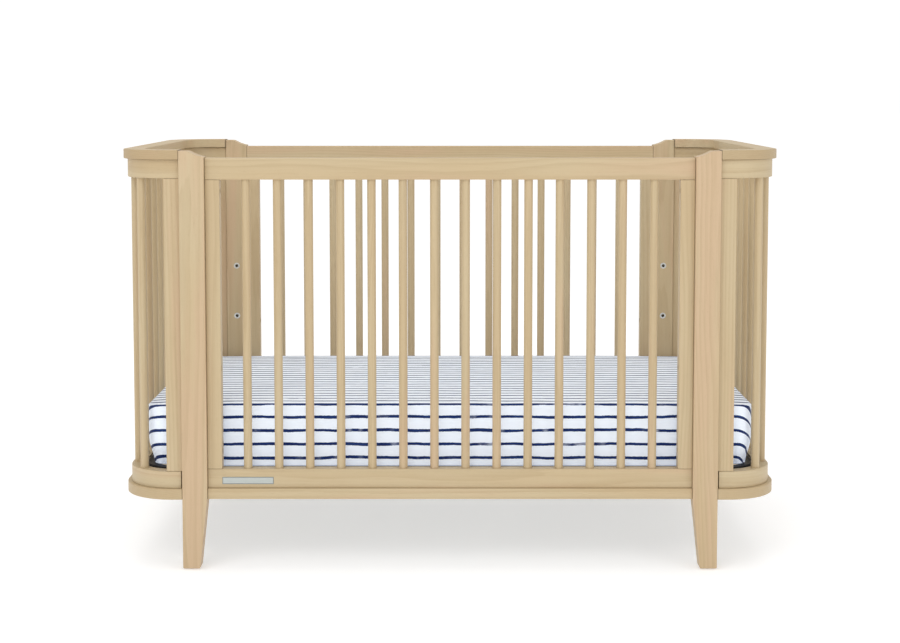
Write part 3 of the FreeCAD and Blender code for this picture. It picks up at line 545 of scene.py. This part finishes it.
class Plan:
    """Columns round the bed, from the front left corner: foot points and the way out from them."""

    def __init__(self, pitch, corner_steps):
        feet, ways = [], []
        for side in range(4):
            run_way = np.array([(1, 0), (0, 1), (-1, 0), (0, -1)][side], float)
            out_way = np.array([(0, -1), (1, 0), (0, 1), (-1, 0)][side], float)
            half_run, half_out = ((FOOT_X, FOOT_Y), (FOOT_Y, FOOT_X))[side % 2]
            steps = round(2 * half_run / pitch)
            for run in np.linspace(-half_run, half_run, steps, endpoint=False):
                feet.append(run_way * run + out_way * half_out)
                ways.append(out_way)
            for turn in np.linspace(0, math.pi / 2, corner_steps, endpoint=False):
                feet.append(run_way * half_run + out_way * half_out)
                ways.append(out_way * math.cos(turn) + run_way * math.sin(turn))
        self.feet = np.array(feet)
        self.ways = np.array(ways)
        self.turn = np.arctan2(np.abs(self.ways[:, 0]), np.abs(self.ways[:, 1]))
        edge = self.feet + self.ways * PLAN_CORNER
        step = np.linalg.norm(np.roll(edge, -1, 0) - edge, axis=1)
        self.length = np.concatenate([[0.0], np.cumsum(step)[:-1]])
        near_x = eased(np.abs(self.feet[:, 0]), FOOT_X - 0.07, FOOT_X)
        near_y = eased(np.abs(self.feet[:, 1]), FOOT_Y - 0.07, FOOT_Y)
        self.cornering = near_x * near_y

    def rings(self, shrink, low, hem):
        """Rings of points from the top's middle line down the sides and under the edge.

        shrink is how far inside the sheet the surface lies, low the height of its underside
        and hem whether it ends under the mattress in a ruffled hem."""
        high = BED_HIGH.z - SWELL - shrink
        reach_out = PLAN_CORNER - shrink
        tuck = EDGE_ROUND + (CORNER_TUCK - EDGE_ROUND) * self.cornering
        top_edge = self.feet + self.ways * (reach_out - TOP_ROUND)
        spine = np.zeros_like(top_edge)
        spine[:, 0] = np.clip(top_edge[:, 0], -(FOOT_X - FOOT_Y), FOOT_X - FOOT_Y)
        rings, travel = [], []
        for inward in TOP_SHARES:
            plan = top_edge + (spine - top_edge) * inward
            back = np.maximum(plan[:, 1], 0.0) / BED_Y
            fall = CROWN * (back ** 2 + (plan[:, 0] / BED_X) ** 6)
            rings.append(np.column_stack([plan, high - fall]))
            travel.append(np.full(len(plan), -inward))
        drop = high - rings[-1][:, 2]
        for angle in np.linspace(0, math.pi / 2, ROUND_STEPS + 1)[1:]:
            reach = reach_out - TOP_ROUND * (1 - math.sin(angle))
            sink = drop + (TOP_ROUND - drop) * (1 - math.cos(angle))
            rings.append(self.ring(reach, high - sink))
            travel.append(np.full(len(drop), TOP_ROUND * angle))
        start = high - TOP_ROUND
        for share in np.linspace(0, 1, SIDE_STEPS + 1)[1:]:
            height = start + (low + tuck - start) * share
            taper = CORNER_TAPER * self.cornering * eased(low + 0.055 - height, 0.0, 0.055)
            welt = self.welt() * np.exp(-(((height - low) / 0.009) ** 2))
            rings.append(self.ring(reach_out - taper + welt, height))
            travel.append(TOP_ROUND * math.pi / 2 + start - height)
        for angle in np.linspace(0, math.pi / 2, TUCK_STEPS + 1)[1:]:
            taper = CORNER_TAPER * self.cornering - self.welt()
            reach = reach_out - taper - tuck * (1 - math.cos(angle))
            rings.append(self.ring(reach, low + tuck * (1 - math.sin(angle))))
            travel.append(travel[-1] + tuck * math.pi / (2 * TUCK_STEPS))
        end = HEM_EDGE + (HEM_EDGE_AT_CORNER - HEM_EDGE) * self.cornering
        gather = np.sin(self.length * math.tau / RUFFLE + 1.7 * np.sin(self.length * 9.0))
        first = reach_out - taper - tuck
        for share in np.linspace(0, 1, HEM_STEPS + 1)[1:]:
            pull = share ** 2 * hem
            reach = first + (end - first) * share + RUFFLE_DEPTH * gather * pull
            height = low + HEM_LIFT * pull + HEM_LIFT * gather * pull
            rings.append(self.ring(reach, height))
            travel.append(travel[-1] + (first - end) / HEM_STEPS)
        return np.array(rings), np.array(travel)

    def on_end_flap(self):
        """For each column, whether it lies on an end flap."""
        return self.turn >= CORNER_SEAM - 0.001

    def welt(self):
        """How far the cloth stands out along its lower edge: more at the long sides."""
        sideways = np.abs(self.ways[:, 1])
        return (WELT_AT_ENDS + (WELT - WELT_AT_ENDS) * sideways) * (1 - self.cornering)

    def ring(self, reach, height):
        plan = self.feet + self.ways * np.reshape(reach * np.ones(len(self.feet)), (-1, 1))
        return np.column_stack([plan, height * np.ones(len(plan))])


def in_scene(name, data):
    """A new object in the scene."""
    made = bpy.data.objects.new(name, data)
    bpy.context.scene.collection.objects.link(made)
    return made


def new_piece(name, points, edges, faces):
    mesh = bpy.data.meshes.new(name)
    mesh.from_pydata(points, edges, faces)
    return in_scene(name, mesh)


def shaded_smooth(piece):
    faces = piece.data.polygons
    faces.foreach_set("use_smooth", [True] * len(faces))


def surface_mesh(name, rings, closed):
    """A skin over rings of columns, with a face closing its underside if closed."""
    count = rings.shape[1]
    corners = []
    for ring in range(len(rings) - 1):
        for column in range(count):
            after = (column + 1) % count
            here = ring * count
            under = here + count
            corners.append((here + column, under + column, under + after, here + after))
    if closed:
        last = (len(rings) - 1) * count
        corners.append(tuple(last + column for column in reversed(range(count))))
    return new_piece(name, rings.reshape(-1, 3).tolist(), [], corners)


def sew_middle_line(piece):
    """Joins the two sides of the innermost ring and drops faces with no width."""
    work = bmesh.new()
    work.from_mesh(piece.data)
    bmesh.ops.remove_doubles(work, verts=work.verts, dist=0.00005)
    bmesh.ops.dissolve_degenerate(work, edges=work.edges, dist=0.00001)
    work.to_mesh(piece.data)
    work.free()


def applied(piece):
    """Makes the piece's modifiers part of its mesh."""
    graph = bpy.context.evaluated_depsgraph_get()
    mesh = bpy.data.meshes.new_from_object(piece.evaluated_get(graph))
    piece.modifiers.clear()
    piece.data = mesh


def points_of(mesh):
    found = np.zeros(len(mesh.vertices) * 3, np.float32)
    mesh.vertices.foreach_get("co", found)
    return found.reshape(-1, 3).astype(float)


def foam_mattress():
    """The mattress in its own cover, its points before it filled out and how far each moved."""
    rings, _ = Plan(0.03, 6).rings(COVER_GAP, BED_LOW.z + COVER_BOTTOM, 0.0)
    mattress = surface_mesh("foam_mattress", rings, True)
    sew_middle_line(mattress)
    remesh = mattress.modifiers.new("even_faces", "REMESH")
    remesh.mode = "VOXEL"
    remesh.voxel_size = 0.011
    remesh.adaptivity = 0.0
    applied(mattress)
    before = points_of(mattress.data)
    moved = filled_out(mattress, before)
    after = before + moved
    after[:, 2] = np.maximum(after[:, 2], BED_LOW.z + COVER_BOTTOM)
    mattress.data.vertices.foreach_set("co", after.astype(np.float32).ravel())
    mattress.data.update()
    smooth = mattress.modifiers.new("soft_skin", "SUBSURF")
    smooth.levels = smooth.render_levels = 1
    applied(mattress)
    shaded_smooth(mattress)
    return mattress, before, moved


def filled_out(mattress, before):
    """How far the foam pushes each point of the cover, at most SWELL."""
    cloth = mattress.modifiers.new("foam_pressure", "CLOTH")
    cloth.settings.quality = 5
    cloth.settings.use_pressure = True
    cloth.settings.uniform_pressure_force = 4.0
    cloth.settings.effector_weights.gravity = 0.0
    scene = bpy.context.scene
    for moment in range(1, 21):
        scene.frame_set(moment)
    graph = bpy.context.evaluated_depsgraph_get()
    pushed = points_of(mattress.evaluated_get(graph).data)
    mattress.modifiers.clear()
    scene.frame_set(1)
    moved = pushed - before
    far = np.linalg.norm(moved, axis=1)
    moved *= (np.minimum(far, SWELL * 0.85) / np.maximum(far, 1e-9))[:, None]
    return moved


def carried(points, before, moved):
    """How far the mattress carries each point of the sheet that lies on it."""
    tree = KDTree(len(before))
    for index, point in enumerate(before):
        tree.insert(point, index)
    tree.balance()
    found = np.zeros_like(points)
    for index, point in enumerate(points):
        near = tree.find_n(point, 8)
        weights = np.array([1.0 / (distance + 0.004) for _, _, distance in near])
        ways = np.array([moved[which] for _, which, _ in near])
        found[index] = weights @ ways / weights.sum()
    return found


def cloth_ripples(points, plan, count):
    """Small slack in the cotton: long soft waves on top and short folds above the corners' hem."""
    ways = np.zeros_like(points)
    for index, point in enumerate(points):
        ring, column = divmod(index, count)
        wave = noise.noise(Vector((point[0] * 4.0, point[1] * 9.0, 3.1)))
        wave += 0.5 * noise.noise(Vector((point[0] * 13.0, point[1] * 17.0, 7.7)))
        if ring <= TOP_EDGE_RING:
            ways[index, 2] = 0.0007 * wave
            continue
        fold = math.sin(plan.length[column] * math.tau / 0.021 + 2.0 * wave)
        low = 1.0 - float(eased(point[2], BED_LOW.z + 0.008, BED_LOW.z + 0.075))
        push = (0.0009 * fold * plan.cornering[column] + 0.0005 * wave) * low + 0.0004 * wave
        if point[2] > BED_LOW.z + 0.004:
            ways[index, :2] = plan.ways[column] * push
    return ways


def flat_places(rings, travel, plan):
    """For each ring and column, where it lies on the flat cloth: as part of a long or end flap."""
    along = rings[TOP_EDGE_RING][:, :2]
    out = np.maximum(travel, 0.0)
    bias = 1.0 - 0.015 * (plan.turn / math.radians(75)) ** 2
    pull = np.where(plan.feet[:, 0] < 0, 0.5, -0.25)
    lift = pull * (PLAN_CORNER - TOP_ROUND) * (1.0 - np.cos(plan.turn)) * eased(out, 0.0, 0.04)
    sides = np.sign(plan.ways[:, 1])
    ends = np.sign(plan.ways[:, 0])
    extra = (PLAN_CORNER * plan.turn - (PLAN_CORNER - TOP_ROUND) * np.sin(plan.turn)) * ends
    long_u = along[:, 0] + extra * eased(out, 0.0, 0.05)
    long_v = along[:, 1] + sides * (out * bias + lift)
    end_u = along[:, 0] + ends * out
    end_v = np.broadcast_to(along[:, 1], out.shape)
    top = (travel < 0)[:, :, None]
    long_flap = np.where(top, rings[:, :, :2], np.stack([long_u, long_v], -1))
    end_flap = np.where(top, rings[:, :, :2], np.stack([end_u, end_v], -1))
    return long_flap, end_flap


def fitted_sheet(before, moved):
    """The cotton sheet over the mattress, with its place on the flat cloth in a UV map.

    Returns it with its plan and its points as rings of columns."""
    plan = Plan(0.0062, 14)
    rings, travel = plan.rings(0.0, BED_LOW.z + HEM_LIFT, 1.0)
    long_flap, end_flap = flat_places(rings, travel, plan)
    count = rings.shape[1]
    points = rings.reshape(-1, 3)
    shift = carried(points, before, moved)
    under = points[:, 2] < BED_LOW.z + 0.003
    shift[under] = 0.0
    points = points + shift + cloth_ripples(points, plan, count)
    points[:, 0] = np.clip(points[:, 0], -BED_HIGH.x + 0.0002, BED_HIGH.x - 0.0002)
    points[:, 1] = np.clip(points[:, 1], -BED_HIGH.y - SIDE_ROOM, BED_HIGH.y + SIDE_ROOM)
    points[:, 2] = np.clip(points[:, 2], BED_LOW.z + 0.0001, BED_HIGH.z - 0.0002)
    points = points.reshape(rings.shape)
    sheet = surface_mesh("striped_sheet", points, False)
    layer = sheet.data.uv_layers.new(name="flat_cloth")
    end_column = plan.on_end_flap()
    end_face = end_column & np.roll(end_column, -1)
    spots = np.zeros((len(sheet.data.loops), 2), np.float32)
    loop = 0
    for ring in range(len(rings) - 1):
        for column in range(count):
            after = (column + 1) % count
            flap = end_flap if end_face[column] else long_flap
            for lower, which in ((0, column), (1, column), (1, after), (0, after)):
                spots[loop] = flap[ring + lower, which]
                loop += 1
    layer.data.foreach_set("uv", spots.ravel())
    sew_middle_line(sheet)
    wall = sheet.modifiers.new("cloth_thickness", "SOLIDIFY")
    wall.thickness = SHEET_THICKNESS
    wall.offset = -1.0
    applied(sheet)
    shaded_smooth(sheet)
    return sheet, plan, points


# A painted blue glow given off by the white cotton though it is no lamp; it is halved on the top
# face, which the lamps light more.
PAINTED_BLUE_GLOW = (0.40, 0.55, 1.0, 1.0)
YARN_PITCH = 0.0011
QUILT_PITCH = 0.034


def seam_lines(plan, points):
    """The lines of stitching: one beside each corner seam, and one round the hem."""
    end_column = plan.on_end_flap()
    end_face = end_column & np.roll(end_column, -1)
    seams = np.flatnonzero(end_face != np.roll(end_face, 1))
    lines = []
    for column in seams:
        way = plan.ways[column]
        along = np.array([-way[1], way[0]])
        if along @ plan.feet[column] * abs(along[1]) < 0:
            along = -along
        inward = -along * np.sign(along[1] * plan.feet[column][1])
        line = points[TOP_EDGE_RING:-(HEM_STEPS + 1), column].copy()
        line[:, :2] += way * STITCH_OUT + inward * STITCH_ASIDE
        lines.append((line, False))
    hem = points[STITCH_HEM_RING].copy()
    hem[:, 2] -= STITCH_OUT
    lines.append((hem, True))
    return lines


def path_mesh(name, lines):
    """Edges that follow each line. A closed line runs back to its start."""
    spots, edges = [], []
    for line, closed in lines:
        first = len(spots)
        spots.extend(line.tolist())
        edges.extend((first + step, first + step + 1) for step in range(len(line) - 1))
        if closed:
            edges.append((len(spots) - 1, first))
    return new_piece(name, spots, edges, [])


def tree_node(tree, kind, settings=None, sockets=None):
    """One node of a geometry tree. A socket takes a value or another node's output."""
    made = tree.nodes.new(kind)
    for name, setting in (settings or {}).items():
        setattr(made, name, setting)
    for key, value in (sockets or {}).items():
        if isinstance(value, bpy.types.NodeSocket):
            tree.links.new(value, made.inputs[key])
        else:
            made.inputs[key].default_value = value
    return made


def stitch_row_tree(thread):
    """Short rods of thread laid along a path at an even pitch."""
    tree = bpy.data.node_groups.new("stitch_row", "GeometryNodeTree")
    sizes = {"Path": "Geometry", "Pitch": "Float", "Stitch Length": "Float",
             "Thread": "Float", "Seed": "Int"}
    for name, kind in sizes.items():
        tree.interface.new_socket(name, in_out="INPUT", socket_type="NodeSocket" + kind)
    tree.interface.new_socket("Stitches", in_out="OUTPUT", socket_type="NodeSocketGeometry")
    given = tree_node(tree, "NodeGroupInput").outputs
    curve = tree_node(tree, "GeometryNodeMeshToCurve", None, {"Mesh": given["Path"]})
    even = tree_node(tree, "GeometryNodeResampleCurve", {"mode": "LENGTH"},
                     {"Curve": curve.outputs[0], "Length": given["Pitch"]})
    rod = tree_node(tree, "GeometryNodeMeshCylinder", None,
                    {"Vertices": 6, "Radius": given["Thread"], "Depth": given["Stitch Length"]})
    tangent = tree_node(tree, "GeometryNodeInputTangent")
    turned = tree_node(tree, "FunctionNodeAlignRotationToVector", {"axis": "Z"},
                       {"Vector": tangent.outputs[0]})
    pull = tree_node(tree, "FunctionNodeRandomValue", {"data_type": "FLOAT"},
                     {2: 0.86, 3: 1.1, "Seed": given["Seed"]})
    laid = tree_node(tree, "GeometryNodeInstanceOnPoints", None,
                     {"Points": even.outputs[0], "Instance": rod.outputs["Mesh"],
                      "Rotation": turned.outputs[0], "Scale": pull.outputs[1]})
    real = tree_node(tree, "GeometryNodeRealizeInstances", None, {"Geometry": laid.outputs[0]})
    sewn = tree_node(tree, "GeometryNodeSetMaterial", None,
                     {"Geometry": real.outputs[0], "Material": thread})
    tree_node(tree, "NodeGroupOutput", None, {"Stitches": sewn.outputs[0]})
    return tree


def stitched(name, lines, thread, seed):
    """The stitches along the lines, as one plain mesh."""
    piece = path_mesh(name, lines)
    tree = stitch_row_tree(thread)
    rows = piece.modifiers.new("stitch_rows", "NODES")
    rows.node_group = tree
    sizes = {**STITCH_SIZES, "Seed": seed}
    for item in tree.interface.items_tree:
        if item.name in sizes:
            rows[item.identifier] = sizes[item.name]
    applied(piece)
    return piece


def sewing_thread():
    """Twisted white polyester thread."""
    finish = Finish("sewing_thread")
    x, y, z = finish.split(finish.place())
    twist = finish.noise(x * 3000.0, y * 3000.0, z * 3000.0, 2.0)
    return finish.surface(
        Base_Color=finish.mix(twist.step(0.35, 0.7), shade(236, 240, 248), shade(206, 214, 230)),
        Roughness=0.45 + twist * 0.2,
        Normal=finish.bump(twist, 0.00006),
        Sheen_Weight=0.2,
    )


def striped_cotton():
    """Plain-woven cotton with navy stripes painted by brush, uneven and dry in places."""
    finish = Finish("striped_cotton")
    u, v, _ = finish.split(finish.flat_cloth())
    rows = (v - STRIPE_START) / STRIPE_PITCH
    row = finish.node("Math", {"operation": "ROUND"}, {0: rows})
    sway = (finish.noise(u * 8.0, row * 7.31, 0.5, 2.0) - 0.5) * 0.0072
    jog = (finish.noise(u * 26.0, row * 3.77, 4.5, 3.0) - 0.5) * 0.0042
    off = abs((rows - row) * STRIPE_PITCH + sway + jog)
    load = finish.noise(u * 11.0, row * 5.13, 9.5, 3.0)
    ragged = (finish.noise(u * 300.0, v * 700.0, 0.0, 4.0) - 0.5) * 0.0022
    long_side = abs(v).step(0.322, 0.33)
    brow = abs(v).step(0.33, 0.334) * (1.0 - abs(v).step(0.343, 0.347))
    half = (0.0018 + load * 0.0027) * (1.3 - long_side * 0.3 + brow * 0.55)
    ink = 1.0 - (off + ragged - half).step(-0.0004, 0.0005)
    dry_place = finish.noise(u * 24.0, row * 9.7, 2.5, 2.0).step(0.60, 0.74)
    bristle = finish.noise(u * 60.0, v * 2600.0, 1.0, 3.0).step(0.42, 0.6)
    ink = ink * (1.0 - dry_place * bristle * 0.6)
    depth = finish.noise(u * 30.0, v * 240.0, 6.0, 3.0)
    navy = finish.mix(depth.step(0.35, 0.75), shade(14, 36, 92), shade(30, 60, 120))
    cloud = finish.noise(u * 16.0, v * 16.0, 8.0, 3.0)
    thread = finish.noise(u * 1100.0, v * 1100.0, 3.0, 2.0)
    white = finish.mix(cloud, shade(246, 252, 255), shade(240, 248, 255))
    white = finish.mix(thread.step(0.5, 0.9) * 0.3, white, shade(224, 234, 250))
    turns = math.tau / YARN_PITCH
    warp = finish.node("Math", {"operation": "SINE"}, {0: u * turns})
    weft = finish.node("Math", {"operation": "SINE"}, {0: v * turns})
    weave = warp * weft + thread * 0.6
    rumple = finish.noise(u * 70.0, v * 70.0, 5.0, 3.0)
    relief = finish.bump(weave * 0.00006 + rumple * 0.0009, 1.0, 0.6)
    return finish.surface(
        Base_Color=finish.mix(ink, white, navy),
        Roughness=0.82 + thread * 0.1,
        Normal=relief,
        # Emission: painted light, a blue glow from the white cloth, off under the ink and halved
        # on the top face.
        Emission_Color=finish.mix(
            ink.largest(0.5 - long_side * 0.5), PAINTED_BLUE_GLOW, (0.0, 0.0, 0.0, 1.0)
        ),
        Emission_Strength=0.16,
        Sheen_Weight=0.25,
        Sheen_Roughness=0.4,
        Specular_IOR_Level=0.25,
    )


def mattress_ticking():
    """The mattress's own white cover: a knitted face quilted in small diamonds."""
    finish = Finish("mattress_ticking")
    x, y, z = finish.split(finish.place())
    first = ((x + y) / QUILT_PITCH).fract()
    second = ((x - y) / QUILT_PITCH).fract()
    puff = (abs(first - 0.5) * 2.0).smallest(abs(second - 0.5) * 2.0)
    quilt_groove_and_shade = 1.0 - puff.step(0.0, 0.3)
    knit = finish.noise(x * 900.0, y * 900.0, z * 900.0, 2.0)
    cloud = finish.noise(x * 7.0, y * 7.0, z * 7.0, 3.0)
    base = finish.mix(cloud, shade(240, 240, 236), shade(229, 229, 224))
    # The quilting grooves are painted darker: painted shade in the grooves.
    base = finish.mix(quilt_groove_and_shade * 0.35, base, shade(196, 196, 190))
    return finish.surface(
        Base_Color=base,
        Roughness=0.7 + knit * 0.15,
        Normal=finish.bump(knit * 0.00008 - quilt_groove_and_shade * 0.0006, 1.0, 0.8),
        Sheen_Weight=0.15,
    )


MATTRESS, REST_POINTS, MOVED = foam_mattress()
MATTRESS.data.materials.append(mattress_ticking())
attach(MATTRESS, "mattress")
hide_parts("mattress")

SHEET, SHEET_PLAN, SHEET_POINTS = fitted_sheet(REST_POINTS, MOVED)
SHEET.data.materials.append(striped_cotton())
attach(SHEET, "mattress")
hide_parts("fitted_sheet")

STITCHES = stitched("sheet_stitches", seam_lines(SHEET_PLAN, SHEET_POINTS), sewing_thread(), 7)
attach(STITCHES, "mattress")


# ---------------------------------------------------------------- floor, light and camera

# How strongly the room lights the crib, and how bright its walls look to the camera.
ROOM_LIGHT = 0.69
WALL_BRIGHTNESS = 1.02
CAMERA_PLACE = (0.0, -3.9175, 1.0136)
CAMERA_TILT = math.radians(90 - 4.482)


def glowing_floor():
    bpy.ops.mesh.primitive_plane_add(size=120, location=(0, 0, -0.0005))
    floor = bpy.context.object
    floor.name = "floor"
    finish = Finish("glowing_floor")
    x, y, z = finish.split(finish.place())
    cloud = finish.noise(x * 0.8, y * 0.8, z, 3.0)
    far = ((x * x + y * y) ** 0.5).step(1.2, 3.0)
    floor.data.materials.append(finish.surface(
        Base_Color=finish.mix(cloud, shade(228, 228, 229), shade(231, 231, 231)),
        Roughness=0.8,
        Specular_IOR_Level=0.15,
        # Emission: the floor glows, stronger far off than near the crib: painted light that lifts
        # the crib's shadow and whitens the far floor into the backdrop.
        Emission_Color=finish.mix(far, (0.76, 0.76, 0.76, 1.0), (1.0, 1.0, 1.0, 1.0)),
        Emission_Strength=0.5,
    ))


def soft_box(name, place, target, size, power):
    lamp = bpy.data.lights.new(name, "AREA")
    lamp.shape = "RECTANGLE"
    lamp.size, lamp.size_y = size
    lamp.energy = power
    holder = in_scene(name, lamp)
    holder.location = place
    holder.rotation_mode = "QUATERNION"
    aim = Vector(target) - Vector(place)
    holder.rotation_quaternion = aim.to_track_quat("-Z", "Y")


def studio():
    """A white room: its walls look white and light the crib a little less than that."""
    scene = bpy.context.scene
    scene.view_settings.view_transform = "Standard"
    world = bpy.data.worlds.new("white_studio")
    scene.world = world
    world.use_nodes = True
    nodes = world.node_tree.nodes
    seen = nodes.new("ShaderNodeLightPath")
    strength = nodes.new("ShaderNodeMath")
    strength.operation = "MULTIPLY_ADD"
    strength.inputs[1].default_value = WALL_BRIGHTNESS - ROOM_LIGHT
    strength.inputs[2].default_value = ROOM_LIGHT
    backdrop = nodes["Background"]
    backdrop.inputs["Color"].default_value = (1.0, 1.0, 1.0, 1.0)
    world.node_tree.links.new(seen.outputs["Is Camera Ray"], strength.inputs[0])
    world.node_tree.links.new(strength.outputs[0], backdrop.inputs["Strength"])
    soft_box("key", (-1.8, -3.4, 3.4), (0, 0, 0.4), (3.0, 2.2), 52)
    soft_box("fill", (2.8, -3.6, 2.2), (0, 0, 0.5), (2.6, 2.2), 27)
    soft_box("overhead", (0.0, 0.4, 3.8), (0, 0, 0.0), (3.4, 2.2), 34)


def camera():
    lens = bpy.data.cameras.new("camera")
    lens.lens = 68.035
    lens.sensor_width = 36.0
    lens.shift_y = -0.111
    lens.clip_end = 300.0
    holder = in_scene("camera", lens)
    holder.location = CAMERA_PLACE
    holder.rotation_euler = (CAMERA_TILT, 0.0, 0.0)
    bpy.context.scene.camera = holder


glowing_floor()
studio()
camera()
